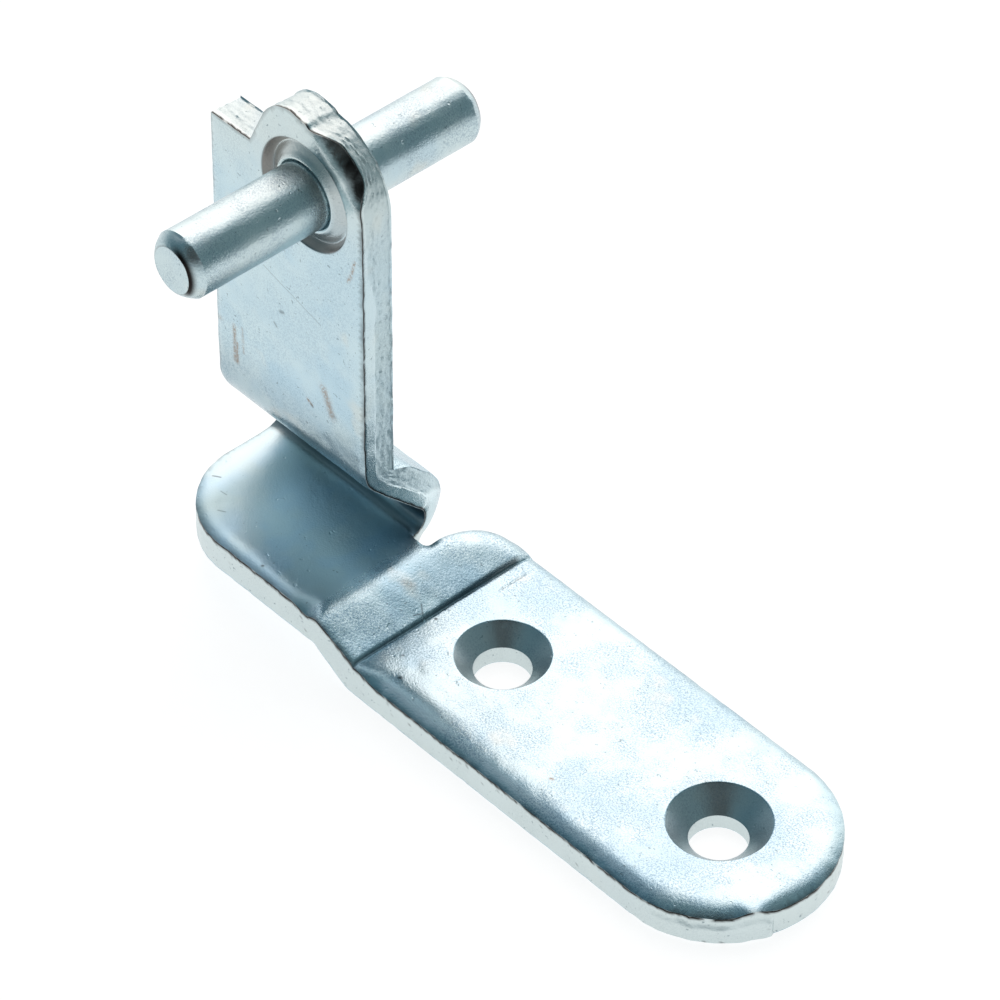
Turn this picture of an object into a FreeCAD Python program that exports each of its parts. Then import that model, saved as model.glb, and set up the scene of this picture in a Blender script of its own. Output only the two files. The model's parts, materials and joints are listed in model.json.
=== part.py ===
import FreeCAD, Part

import math
import os

import Sketcher
from FreeCAD import Placement, Rotation, Vector

# The pin leaf of a strap hinge: one folded plate and one staked pin.
#
# Frame: +X runs along the strap to its round end, +Y points from the leg's front face to its back
# face, and +Z is up. Z = 0 is the underside that screws down. The origin is midway between the two
# screw holes. Lengths are millimetres.

DRIVING_SIZES = {
    # plate and strap
    "plate_thickness": 5.0,
    "strap_width": 30.0,
    "screw_spacing": 38.3,
    "screw_hole_diameter": 7.4,
    "inner_sink_diameter": 12.3,
    "outer_sink_diameter": 13.2,
    "screw_to_crease": 10.9,
    # joggle and raised pad, measured from the crease
    "joggle_rise": 3.5,
    "joggle_run": 7.0,
    "joggle_bend_radius": 8.0,
    "joggle_foot_run": 0.34,
    "joggle_foot_rise": 0.68,
    "pad_reach": 37.2,
    "pad_corner_radius": 12.0,
    # notch between the strap's shoulder and the folded tab
    "shoulder_reach": 7.3,
    "shoulder_radius": 7.5,
    "notch_corner_radius": 1.0,
    "notch_floor": 3.6,
    "tab_reach": 9.85,
    # fold: the tab turns up and back by 135 degrees, then stands up again
    "fold_line": 3.75,
    "fold_inner_radius": 1.8,
    "knee_inner_radius": 1.0,
    "leg_front": -4.3,
    "fold_bevel_along": 2.4,
    "fold_bevel_across": 3.0,
    # leg outline, measured from the pin's axis
    "pin_reach": 19.95,
    "pin_height": 56.65,
    "ledge_rise": 2.25,
    "valley_reach": 10.1,
    "lobe_side_reach": 7.6,
    "lobe_side_rise": 7.6,
    "lobe_top_reach": 1.85,
    "lobe_top_rise": 11.2,
    "lobe_radius": 5.8,
    "step_reach": 0.55,
    "step_rise": 10.9,
    "step_drop": 0.6,
    "ear_radius": 10.1,
    "ear_centre_rise": 0.3,
    # pin and the ring staked round it
    "pin_diameter": 9.0,
    "pin_seat_diameter": 9.4,
    "pin_length": 46.0,
    "pin_face_diameter": 6.7,
    "pin_lead": 1.6,
    "pin_nose_radius": 2.2,
    "stake_outer_diameter": 15.4,
    "stake_floor_diameter": 13.4,
    "stake_inner_diameter": 10.4,
    "stake_depth": 0.9,
}

SHEET = "Sizes"
MARGIN = 2.0  # how far waste outlines run past the plate
FOLD_TURN = 135  # degrees that the tab turns through at the fold


class Dim:
    """A number together with the spreadsheet formula that gives it."""

    def __init__(self, value, formula):
        self.value = float(value)
        self.formula = formula

    def __add__(self, other):
        other = as_dim(other)
        return Dim(self.value + other.value, f"({self.formula} + {other.formula})")

    def __sub__(self, other):
        other = as_dim(other)
        return Dim(self.value - other.value, f"({self.formula} - {other.formula})")

    def __mul__(self, other):
        other = as_dim(other)
        return Dim(self.value * other.value, f"({self.formula} * {other.formula})")

    def __truediv__(self, other):
        other = as_dim(other)
        return Dim(self.value / other.value, f"({self.formula} / {other.formula})")

    def __neg__(self):
        return as_dim(0) - self


def as_dim(number):
    """Wrap a plain number, so that it can stand in a formula."""
    if isinstance(number, Dim):
        return number
    return Dim(number, f"{float(number):.6f}")


def root(number):
    """Square root of a Dim."""
    return Dim(math.sqrt(number.value), f"sqrt({number.formula})")


def size(name):
    """One driving size."""
    return Dim(DRIVING_SIZES[name], f"{SHEET}.{name}")


def make_sheet(doc):
    """Write the driving sizes to the spreadsheet."""
    sheet = doc.addObject("Spreadsheet::Sheet", SHEET)
    for row, (alias, number) in enumerate(DRIVING_SIZES.items(), start=1):
        sheet.set(f"A{row}", alias)
        sheet.set(f"B{row}", str(number))
        sheet.setAlias(f"B{row}", alias)
    doc.recompute()


def bind(thing, path, dim):
    """Tie a property, or a sketch constraint, to its formula."""
    thing.setExpression(path, dim.formula)


def sketch_on(body, role, name, lift=None):
    """A sketch on one of the body's origin planes, lifted along the plane's normal."""
    sketch = body.newObject("Sketcher::SketchObject", name)
    plane = next(item for item in body.Origin.OriginFeatures if item.Role == role)
    sketch.AttachmentSupport = [(plane, "")]
    sketch.MapMode = "FlatFace"
    if lift is not None:
        bind(sketch, "AttachmentOffset.Base.z", lift)
    return sketch


def arc_between(start, end, radius, turn):
    """The shorter arc from start to end: turn is +1 anticlockwise, -1 clockwise."""
    chord = end - start
    half = chord.Length / 2
    reach = math.sqrt(max(radius * radius - half * half, 0.0))
    side = Vector(-chord.y, chord.x, 0).normalize()
    centre = start + chord / 2 + side * (reach * turn)
    first, last = (start, end) if turn > 0 else (end, start)
    angles = [math.atan2(point.y - centre.y, point.x - centre.x) for point in (first, last)]
    circle = Part.Circle(centre, Vector(0, 0, 1), radius)
    return Part.ArcOfCircle(circle, angles[0], angles[1])


def draw_loop(sketch, corners):
    """Draw a closed loop, with every corner and radius tied to its formula.

    A corner is (x, y), or (x, y, radius, turn) where an arc ends at it.
    """
    points = [Vector(corner[0].value, corner[1].value, 0) for corner in corners]
    ends = []
    for index, corner in enumerate(corners):
        start = points[index - 1]
        end = points[index]
        if len(corner) == 2:
            edge = sketch.addGeometry(Part.LineSegment(start, end), False)
            ends.append((edge, 1, 2))
        else:
            radius, turn = corner[2], corner[3]
            edge = sketch.addGeometry(arc_between(start, end, radius.value, turn), False)
            ends.append((edge, 1, 2) if turn > 0 else (edge, 2, 1))
            name = f"radius_{edge}"
            rule = sketch.addConstraint(Sketcher.Constraint("Radius", edge, radius.value))
            sketch.renameConstraint(rule, name)
            bind(sketch, f"Constraints.{name}", radius)
    for index, (edge, start_end, _) in enumerate(ends):
        before, _, before_end = ends[index - 1]
        sketch.addConstraint(Sketcher.Constraint("Coincident", before, before_end, edge, start_end))
    for index, (edge, _, far_end) in enumerate(ends):
        for kind, dim in (("DistanceX", corners[index][0]), ("DistanceY", corners[index][1])):
            name = f"{kind}_{edge}"
            rule = sketch.addConstraint(Sketcher.Constraint(kind, -1, 1, edge, far_end, dim.value))
            sketch.renameConstraint(rule, name)
            bind(sketch, f"Constraints.{name}", dim)


def draw_circle(sketch, x, y, diameter):
    """Draw one circle, tied to its formulas."""
    circle = Part.Circle(Vector(x.value, y.value, 0), Vector(0, 0, 1), diameter.value / 2)
    edge = sketch.addGeometry(circle, False)
    rules = (
        ("centre_x", Sketcher.Constraint("DistanceX", -1, 1, edge, 3, x.value), x),
        ("centre_y", Sketcher.Constraint("DistanceY", -1, 1, edge, 3, y.value), y),
        ("across", Sketcher.Constraint("Diameter", edge, diameter.value), diameter),
    )
    for name, constraint, dim in rules:
        rule = sketch.addConstraint(constraint)
        sketch.renameConstraint(rule, name)
        bind(sketch, f"Constraints.{name}", dim)


def add_feature(body, kind, name, sketch):
    """Add a sketch-based feature to the body."""
    feature = body.newObject(f"PartDesign::{kind}", name)
    feature.Profile = sketch
    sketch.Visibility = False
    return feature


def must_remove(body, feature):
    """Stop if a cutting feature took nothing away."""
    body.Document.recompute()
    before = feature.BaseFeature.Shape.Volume
    after = feature.Shape.Volume
    if not after < before - 1e-3:
        raise RuntimeError(f"{feature.Name} cut nothing")


def cut_through(body, name, sketch):
    """Pocket a sketch right through the body, both ways."""
    pocket = add_feature(body, "Pocket", name, sketch)
    pocket.SideType = "Symmetric"
    pocket.Type = "ThroughAll"
    must_remove(body, pocket)
    return pocket


# ---- places worked out from the driving sizes ----

THICKNESS = size("plate_thickness")
HALF_WIDTH = size("strap_width") / 2
SCREW_X = size("screw_spacing") / 2
TIP_X = SCREW_X + HALF_WIDTH
CREASE_X = -SCREW_X - size("screw_to_crease")
PAD_X = CREASE_X - size("pad_reach")
TAB_X = CREASE_X - size("tab_reach")
SHOULDER_X = CREASE_X - size("shoulder_reach")
PAD_FLOOR = size("joggle_rise")
PAD_TOP = PAD_FLOOR + THICKNESS
PIN_X = CREASE_X - size("pin_reach")
PIN_Z = THICKNESS + size("pin_height")
LEG_FRONT = size("leg_front")
LEG_BACK = LEG_FRONT + THICKNESS
PIN_Y = LEG_FRONT + THICKNESS / 2
LEG_TOP = PIN_Z + size("lobe_top_rise")


def draw_plan(sketch):
    """The flat plate seen from above: strap, shoulder, notch and pad."""
    notch_corner = size("notch_corner_radius")
    shoulder = size("shoulder_radius")
    pad_corner = size("pad_corner_radius")
    floor = size("notch_floor")
    fold_line = size("fold_line")
    zero = as_dim(0)
    draw_loop(sketch, [
        (SCREW_X, -HALF_WIDTH),
        (TIP_X, zero, HALF_WIDTH, 1),
        (SCREW_X, HALF_WIDTH, HALF_WIDTH, 1),
        (SHOULDER_X + shoulder, HALF_WIDTH),
        (SHOULDER_X, HALF_WIDTH - shoulder, shoulder, 1),
        (SHOULDER_X, floor + notch_corner),
        (SHOULDER_X - notch_corner, floor, notch_corner, -1),
        (TAB_X, floor),
        (TAB_X, fold_line),
        (PAD_X, fold_line),
        (PAD_X, pad_corner - HALF_WIDTH),
        (PAD_X + pad_corner, -HALF_WIDTH, pad_corner, 1),
    ])


def draw_waste_above(sketch):
    """What is cleared above the strap and the joggle, seen from the near side.

    The joggle starts with a short steep foot at the crease. A gentler slope and a round bend follow.
    """
    foot_run = size("joggle_foot_run")
    foot_rise = size("joggle_foot_rise")
    run = size("joggle_run") - foot_run
    rise = size("joggle_rise") - foot_rise
    slope = root(run * run + rise * rise)
    bend_radius = size("joggle_bend_radius")
    bend_reach = bend_radius * (slope - run) / rise
    bend_x = CREASE_X - size("joggle_run")
    draw_loop(sketch, [
        (CREASE_X, THICKNESS),
        (TIP_X + MARGIN, THICKNESS),
        (TIP_X + MARGIN, PAD_TOP + MARGIN),
        (bend_x - bend_reach, PAD_TOP + MARGIN),
        (bend_x - bend_reach, PAD_TOP),
        (bend_x + bend_reach * run / slope, PAD_TOP - bend_reach * rise / slope, bend_radius, -1),
        (CREASE_X - foot_run, THICKNESS + foot_rise),
    ])


def draw_waste_below(sketch):
    """What is cleared below the joggle and the pad, seen from the near side."""
    run = size("joggle_run")
    rise = size("joggle_rise")
    slope = root(run * run + rise * rise)
    lead = THICKNESS * (slope - run) / rise
    below = as_dim(-MARGIN)
    draw_loop(sketch, [
        (PAD_X - MARGIN, below),
        (CREASE_X - lead, below),
        (CREASE_X - lead, as_dim(0)),
        (CREASE_X - run - lead, PAD_FLOOR),
        (PAD_X - MARGIN, PAD_FLOOR),
    ])


def draw_fold(sketch):
    """The folded tab in section: tight curl, slope back over the pad, knee and upright leg."""
    diagonal = root(as_dim(2)) / 2
    inner = size("fold_inner_radius")
    outer = inner + THICKNESS
    curl_y = size("fold_line")
    curl_z = PAD_TOP + inner
    knee_inner = size("knee_inner_radius")
    knee_outer = knee_inner + THICKNESS
    knee_y = LEG_BACK + knee_inner
    knee_z = curl_y + curl_z - knee_y + (inner + knee_outer) / diagonal
    draw_loop(sketch, [
        (curl_y, PAD_TOP),
        (curl_y + inner * diagonal, curl_z + inner * diagonal, inner, 1),
        (knee_y - knee_outer * diagonal, knee_z - knee_outer * diagonal),
        (LEG_FRONT, knee_z, knee_outer, -1),
        (LEG_FRONT, LEG_TOP),
        (LEG_BACK, LEG_TOP),
        (LEG_BACK, knee_z),
        (knee_y - knee_inner * diagonal, knee_z - knee_inner * diagonal, knee_inner, 1),
        (curl_y + outer * diagonal, curl_z + outer * diagonal),
        (curl_y, PAD_FLOOR, outer, -1),
    ])


def draw_leg_waste(sketch):
    """What is blanked away round the top of the leg: ledge, valley, lobe, step and ear."""
    ledge = PIN_Z + size("ledge_rise")
    step_x = PIN_X + size("step_reach")
    step_z = PIN_Z + size("step_rise")
    ear_centre = PIN_Z + size("ear_centre_rise")
    above = LEG_TOP + MARGIN
    draw_loop(sketch, [
        (PAD_X - MARGIN, ledge),
        (PIN_X - size("valley_reach"), ledge),
        (PIN_X - size("lobe_side_reach"), PIN_Z + size("lobe_side_rise")),
        (PIN_X - size("lobe_top_reach"), LEG_TOP, size("lobe_radius"), -1),
        (step_x, step_z),
        (step_x, step_z - size("step_drop")),
        (TAB_X, ear_centre, size("ear_radius"), -1),
        (TAB_X + MARGIN, ear_centre),
        (TAB_X + MARGIN, above),
        (PAD_X - MARGIN, above),
    ])


def draw_stake_rings(sketch):
    """Two ring grooves in section, one in each face of the ear, about the pin's axis."""
    outer = size("stake_outer_diameter") / 2
    floor = size("stake_floor_diameter") / 2
    inner = size("stake_inner_diameter") / 2
    depth = size("stake_depth")
    for face, into, order in ((LEG_FRONT, depth, 1), (LEG_BACK, -depth, -1)):
        groove = [(face, inner), (face + into, floor), (face, outer)]
        draw_loop(sketch, groove[::order])


def draw_fold_bevel(sketch):
    """The corner taken off the outside of the curl at the notch, in section."""
    outer = size("fold_inner_radius") + THICKNESS
    along = size("fold_bevel_along")
    across = size("fold_bevel_across")
    spare = 0.2  # how far the ramp runs on past both faces, as a share of its length
    top_x = TAB_X + along * spare
    bottom_z = -outer - across * spare
    draw_loop(sketch, [
        (TAB_X - along * (1 + spare), bottom_z),
        (top_x, bottom_z),
        (top_x, across * (1 + spare) - outer),
    ])


def add_screw_hole(body, name, x, sink_diameter):
    """A countersunk hole down through the strap."""
    sketch = sketch_on(body, "XY_Plane", f"{name}_centre", THICKNESS)
    draw_circle(sketch, x, as_dim(0), size("screw_hole_diameter"))
    body.Document.recompute()
    hole = add_feature(body, "Hole", name, sketch)
    hole.ThreadType = "None"
    hole.DepthType = "ThroughAll"
    hole.HoleCutType = "Countersink"
    hole.HoleCutCustomValues = True
    bind(hole, "Diameter", size("screw_hole_diameter"))
    bind(hole, "HoleCutDiameter", sink_diameter)
    hole.HoleCutCountersinkAngle = 90
    must_remove(body, hole)


def make_bracket(doc):
    """The folded plate: strap, joggle, pad, fold and leg in one piece."""
    body = doc.addObject("PartDesign::Body", "StrapBracket")
    body.Label = "strap_bracket"

    plan = sketch_on(body, "XY_Plane", "plan")
    draw_plan(plan)
    plate = add_feature(body, "Pad", "plate", plan)
    bind(plate, "Length", PAD_TOP)

    for name, draw in (("waste_above", draw_waste_above), ("waste_below", draw_waste_below)):
        waste = sketch_on(body, "XZ_Plane", f"{name}_outline")
        draw(waste)
        cut_through(body, name, waste)

    section = sketch_on(body, "YZ_Plane", "fold_section", PAD_X)
    draw_fold(section)
    fold = add_feature(body, "Pad", "fold", section)
    bind(fold, "Length", TAB_X - PAD_X)

    outline = sketch_on(body, "XZ_Plane", "leg_outline")
    draw_leg_waste(outline)
    cut_through(body, "leg_blanking", outline)

    bore = sketch_on(body, "XZ_Plane", "pin_bore_outline")
    draw_circle(bore, PIN_X, PIN_Z, size("pin_seat_diameter"))
    cut_through(body, "pin_bore", bore)

    rings = sketch_on(body, "YZ_Plane", "stake_rings", PIN_X)
    bind(rings, "AttachmentOffset.Base.y", PIN_Z)
    draw_stake_rings(rings)
    staking = add_feature(body, "Groove", "staking", rings)
    staking.ReferenceAxis = (rings, ["H_Axis"])
    staking.Angle = 360
    must_remove(body, staking)

    add_screw_hole(body, "inner_screw_hole", -SCREW_X, size("inner_sink_diameter"))
    add_screw_hole(body, "outer_screw_hole", SCREW_X, size("outer_sink_diameter"))

    ramp = sketch_on(body, "XZ_Plane", "fold_bevel_ramp", -size("fold_line"))
    bind(ramp, "AttachmentOffset.Base.y", PAD_TOP + size("fold_inner_radius"))
    draw_fold_bevel(ramp)
    bevel = add_feature(body, "Groove", "fold_bevel", ramp)
    bevel.ReferenceAxis = (ramp, ["H_Axis"])
    bevel.Angle = FOLD_TURN
    must_remove(body, bevel)
    return body


def make_pin(doc):
    """The hinge pin, turned about its own axis and then set in the ear.

    The seat inside the ear is a little thicker than the free ends, so that the pin can't slide.
    """
    body = doc.addObject("PartDesign::Body", "HingePin")
    body.Label = "hinge_pin"
    half = size("pin_length") / 2
    radius = size("pin_diameter") / 2
    seat_half = THICKNESS / 2
    seat_radius = size("pin_seat_diameter") / 2
    face_radius = size("pin_face_diameter") / 2
    lead = size("pin_lead")
    nose = size("pin_nose_radius")
    zero = as_dim(0)
    profile = sketch_on(body, "YZ_Plane", "half_profile")
    draw_loop(profile, [
        (-half, zero),
        (half, zero),
        (half, face_radius),
        (half - lead, radius, nose, 1),
        (seat_half, radius),
        (seat_half, seat_radius),
        (-seat_half, seat_radius),
        (-seat_half, radius),
        (lead - half, radius),
        (-half, face_radius, nose, 1),
    ])
    turned = add_feature(body, "Revolution", "turned_pin", profile)
    turned.ReferenceAxis = (profile, ["H_Axis"])
    turned.Angle = 360
    body.Placement = Placement(Vector(PIN_X.value, PIN_Y.value, PIN_Z.value), Rotation())
    for axis, place in (("x", PIN_X), ("y", PIN_Y), ("z", PIN_Z)):
        bind(body, f"Placement.Base.{axis}", place)
    return body


def check_document(doc, bodies):
    """Stop on any failed object or bad solid, before anything is written."""
    for item in doc.Objects:
        if "Invalid" in item.State or "Error" in item.State:
            raise RuntimeError(f"{item.Name} failed: {item.State}")
    for body in bodies:
        shape = body.Shape
        if shape.isNull() or not shape.isValid() or len(shape.Solids) != 1:
            raise RuntimeError(f"{body.Label} isn't one valid solid")


def main():
    """Build the document, check it and write one STEP file per piece."""
    doc = FreeCAD.newDocument("strap_hinge")
    make_sheet(doc)
    bodies = [make_bracket(doc), make_pin(doc)]
    doc.recompute()
    check_document(doc, bodies)
    os.makedirs("parts", exist_ok=True)
    for body in bodies:
        body.Shape.exportStep(f"parts/{body.Label}.step")
        print(f"{body.Label}: {body.Shape.Volume:.0f} mm3")


main()
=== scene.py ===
import json
import math

import bpy
import numpy as np
from mathutils import Matrix, Vector
from mathutils.geometry import delaunay_2d_cdt


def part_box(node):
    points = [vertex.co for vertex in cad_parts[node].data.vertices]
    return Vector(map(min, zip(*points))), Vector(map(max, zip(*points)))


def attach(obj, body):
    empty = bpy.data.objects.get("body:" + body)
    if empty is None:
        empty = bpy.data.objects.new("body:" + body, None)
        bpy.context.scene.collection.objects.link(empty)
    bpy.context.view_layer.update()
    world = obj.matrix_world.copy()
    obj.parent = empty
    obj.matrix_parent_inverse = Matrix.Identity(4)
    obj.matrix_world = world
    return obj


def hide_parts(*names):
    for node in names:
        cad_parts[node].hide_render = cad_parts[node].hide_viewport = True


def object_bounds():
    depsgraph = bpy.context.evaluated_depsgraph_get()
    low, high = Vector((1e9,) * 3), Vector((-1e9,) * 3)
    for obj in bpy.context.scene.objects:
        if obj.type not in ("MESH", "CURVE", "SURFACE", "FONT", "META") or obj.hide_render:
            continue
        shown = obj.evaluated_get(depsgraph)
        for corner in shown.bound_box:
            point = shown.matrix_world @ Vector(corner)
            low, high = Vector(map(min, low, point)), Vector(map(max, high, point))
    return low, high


# Looks of the strap hinge's pin leaf. Shapes are worked out in millimetres, in the CAD's frame, and
# scaled to metres when a mesh is made.
#
# The plate is drawn flat first, as its blank: x along the strap and s across it, where s runs on
# round the fold and up the leg. w is the height above the plate's middle. bend() folds the blank.

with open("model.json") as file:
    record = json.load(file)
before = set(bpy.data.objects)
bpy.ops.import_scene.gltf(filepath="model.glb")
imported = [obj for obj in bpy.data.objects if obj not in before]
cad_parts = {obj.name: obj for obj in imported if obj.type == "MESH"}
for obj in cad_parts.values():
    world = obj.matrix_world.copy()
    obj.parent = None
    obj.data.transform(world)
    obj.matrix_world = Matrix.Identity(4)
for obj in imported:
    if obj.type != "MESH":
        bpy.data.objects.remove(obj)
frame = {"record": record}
CAD_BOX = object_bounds()

MM = 0.001
TAU = 2 * math.pi

# ---- places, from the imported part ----

MOUNTS = {mount["name"]: mount for mount in frame["record"]["mounts"]}
SCREWS = MOUNTS["screw_holes"]["dims"]
SCREW_X = SCREWS["spacing_x_mm"] / 2
HOLE_RADIUS = SCREWS["hole_r_mm"]
PIN_X, _, PIN_Z = (value / MM for value in MOUNTS["pin_front_end"]["pos_m"])
PIN_RADIUS = MOUNTS["pin_front_end"]["dims"]["r_mm"]
BRACKET_LOW, BRACKET_HIGH = (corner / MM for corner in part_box("strap_bracket"))
PIN_LOW, PIN_HIGH = (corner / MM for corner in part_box("hinge_pin"))
PAD_X = BRACKET_LOW.x
HALF_WIDTH = BRACKET_HIGH.y
LEG_TOP = BRACKET_HIGH.z
PIN_MIDDLE = (PIN_LOW.y + PIN_HIGH.y) / 2

# ---- sizes of the plate ----

THICKNESS = 5.0
HALF_THICK = THICKNESS / 2
CREASE_X = -SCREW_X - 10.9
JOGGLE_RISE = 3.5
JOGGLE_RUN = 7.0
JOGGLE_STEP = 0.62  # the steep foot of the slope, at the crease
JOGGLE_SLOPE = 0.418  # rise over run, behind the steep foot
JOGGLE_SKEW = 1.05  # the underside's bend is this much longer at the far edge
PAD_TOP = THICKNESS + JOGGLE_RISE
PAD_CORNER = 12.0
SHOULDER_X = CREASE_X - 7.3
SHOULDER_RADIUS = 7.5
NOTCH_CORNER = 1.0
NOTCH_FLOOR = 3.6
TAB_X = CREASE_X - 9.85
TAB_CORNER = 0.5
EAR_RADIUS = 10.1
LOBE_RADIUS = 5.8
LEDGE_RISE = 2.25  # the ledge beside the ear, above the middle of the pin
SINK_RADII = {-SCREW_X: 6.15, SCREW_X: 6.6}

# ---- sizes of the fold, as a line in the middle of the plate ----

FOLD_LINE = 3.75
CURL_INNER = 1.8
CURL_MIDDLE = CURL_INNER + HALF_THICK
CURL_TURN = math.radians(135)
CURL_THINNING = 0.26  # share of the curl's outside that stretching takes away
CURL_SET_BACK = 2.3  # how far the curl's outside draws back from the notch
CURL_Y = FOLD_LINE
CURL_Z = PAD_TOP + CURL_INNER
KNEE_INNER = 1.0
KNEE_MIDDLE = KNEE_INNER + HALF_THICK
KNEE_TURN = math.radians(45)
KNEE_NICK = 1.85  # how far the inside of the knee is pressed down
LEG_FRONT = -4.3
KNEE_Y = LEG_FRONT + THICKNESS + KNEE_INNER
DIAGONAL = math.sqrt(0.5)
KNEE_Z = CURL_Y + CURL_Z - KNEE_Y + (CURL_INNER + KNEE_INNER + THICKNESS) / DIAGONAL
CURL_END = FOLD_LINE + CURL_MIDDLE * CURL_TURN
RAMP_LENGTH = (CURL_Y + CURL_MIDDLE * DIAGONAL - KNEE_Y + KNEE_MIDDLE * DIAGONAL) / DIAGONAL
KNEE_START = CURL_END + RAMP_LENGTH
KNEE_END = KNEE_START + KNEE_MIDDLE * KNEE_TURN
LEG_SHIFT = KNEE_END - KNEE_Z  # what turns a height on the leg into s
PIN_S = PIN_Z + LEG_SHIFT

# ---- marks on the surface: start and end in the blank, half width, and strength ----

DARK_MARKS = {
    "second pressed line": ((CREASE_X + 2.2, 7.3), (CREASE_X + 2.3, 12.3), 0.12, 0.2),
    "crack on the slope": ((CREASE_X - 1.5, -2.3), (CREASE_X - 0.4, -3.1), 0.1, 0.6),
    "crack's branch": ((CREASE_X - 0.9, -4.1), (CREASE_X - 0.5, -2.9), 0.1, 0.6),
    "pit by the crease": ((CREASE_X + 0.7, -1.95), (CREASE_X + 0.8, -1.9), 0.17, 1.0),
    "pit by the near edge": ((-24.7, -12.1), (-24.5, -12.0), 0.24, 0.8),
    "small pit": ((-27.3, -9.3), (-27.2, -9.2), 0.15, 0.6),
    "prick 1": ((-25.9, 8.1), (-25.7, 8.15), 0.1, 0.5),
    "prick 2": ((-25.2, 8.7), (-25.15, 8.8), 0.13, 0.35),
    "prick 3": ((-24.8, 7.8), (-24.7, 7.8), 0.1, 0.5),
    "prick 4": ((-25.6, 9.3), (-25.5, 9.3), 0.1, 0.4),
    "nick in the pad's edge": ((-64.83, -7.8), (-63.87, -7.3), 0.11, 0.7),
    "second nick": ((-61.9, -8.95), (-60.9, -8.85), 0.08, 0.45),
    "third nick": ((-59.45, -11.5), (-58.6, -11.0), 0.09, 0.5),
    "nick on the pad": ((-48.2, -13.9), (-48.1, -13.8), 0.15, 0.8),
    "dent on the leg": ((-54.9, 44.1), (-54.4, 44.3), 0.24, 0.55),
    "dent below it": ((-56.1, 41.6), (-55.7, 41.2), 0.18, 0.45),
    "long scratch on the leg": ((-57.9, 49.65), (-47.4, 46.75), 0.08, 0.3),
    "spot's dark end": ((-49.5, 32.5), (-49.2, 32.3), 0.18, 0.6),
}
BROWN_MARKS = {
    "left scuff": ((-63.85, 36.0), (-63.85, 30.3), 0.3, 0.75),
    "left scuff's core": ((-63.4, 33.5), (-63.4, 30.2), 0.24, 0.8),
    "thin scuff": ((-62.3, 36.6), (-62.2, 32.6), 0.22, 0.4),
    "right scuff": ((-47.1, 36.6), (-45.6, 33.2), 0.62, 0.7),
    "spot": ((-50.1, 32.95), (-49.4, 32.5), 0.22, 0.9),
    "rust at the left edge": ((-66.9, 35.5), (-66.3, 35.7), 0.3, 0.5),
    "rust by the ear": ((-41.0, 60.8), (-41.6, 58.6), 0.2, 0.8),
    "rust below it": ((-41.7, 58.2), (-42.3, 57.0), 0.24, 0.7),
    "rust on the strap": ((0.5, -10.15), (0.7, -10.05), 0.2, 0.9),
    "rust on the slope": ((-35.0, -2.3), (-34.2, -1.6), 0.6, 0.25),
}

# ---- fineness of the meshes ----

RIM_STEP = 0.4
RIM_TOUCH = 0.05  # a point nearer than this is on the outline
TAB_SLACK = 0.4  # how far past the tab's edge its points may lie
BEND_SLACK = 0.3  # the same where the blank is folded
GRID_STEP = 0.6
BEND_STEP = 0.3
CREASE_STEP = 0.4
CREASE_LINES = (-0.7, -0.5, -0.34, -0.2, -0.08, 0.04, 0.18, 0.34, 0.55)
RIM_MARGIN = 0.32  # no loose points nearer than this to the outline
RING_MARGIN = 0.2  # nor nearer than this to the rings of a hole
RING_POINTS = 96


def smooth_step(low, high, value):
    """0 below low, 1 above high, and a smooth rise between them."""
    share = np.clip((value - low) / (high - low), 0.0, 1.0)
    return share * share * (3 - 2 * share)


def ripple(points, pitch, seed, waves=9):
    """Smooth uneven heights, mostly between -1 and 1, from a few seeded waves."""
    rng = np.random.default_rng(seed)
    total = np.zeros(len(points))
    for _ in range(waves):
        direction = rng.normal(size=points.shape[1])
        direction /= np.linalg.norm(direction)
        length = pitch * rng.uniform(0.6, 1.6)
        total += np.sin(TAU * (points @ direction) / length + rng.uniform(0, TAU))
    return total / math.sqrt(waves)


# ---- the blank ----

def arc_points(start, end, radius, turn, step):
    """Points after start up to end, on the shorter arc: turn is +1 anticlockwise, -1 clockwise."""
    chord = end - start
    half = np.linalg.norm(chord) / 2
    reach = math.sqrt(max(radius * radius - half * half, 0.0))
    side = np.array([-chord[1], chord[0]]) / (2 * half)
    centre = (start + end) / 2 + side * reach * turn
    first = math.atan2(*(start - centre)[::-1])
    sweep = 2 * math.asin(min(half / radius, 1.0)) * turn
    count = max(2, math.ceil(abs(sweep) * radius / step))
    angles = first + sweep * np.arange(1, count + 1) / count
    return centre + radius * np.column_stack([np.cos(angles), np.sin(angles)])


def line_points(start, end, step):
    """Points after start up to end, on a straight line."""
    count = max(1, math.ceil(np.linalg.norm(end - start) / step))
    shares = np.arange(1, count + 1)[:, None] / count
    return start + (end - start) * shares


def trace(corners, step):
    """A closed outline. A corner is (x, s), or (x, s, radius, turn) where an arc ends at it."""
    stretches = []
    for before, corner in zip([corners[-1]] + corners[:-1], corners):
        start = np.array(before[:2])
        end = np.array(corner[:2])
        if len(corner) == 2:
            stretches.append(line_points(start, end, step))
        else:
            stretches.append(arc_points(start, end, corner[2], corner[3], step))
    return np.vstack(stretches)


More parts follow.
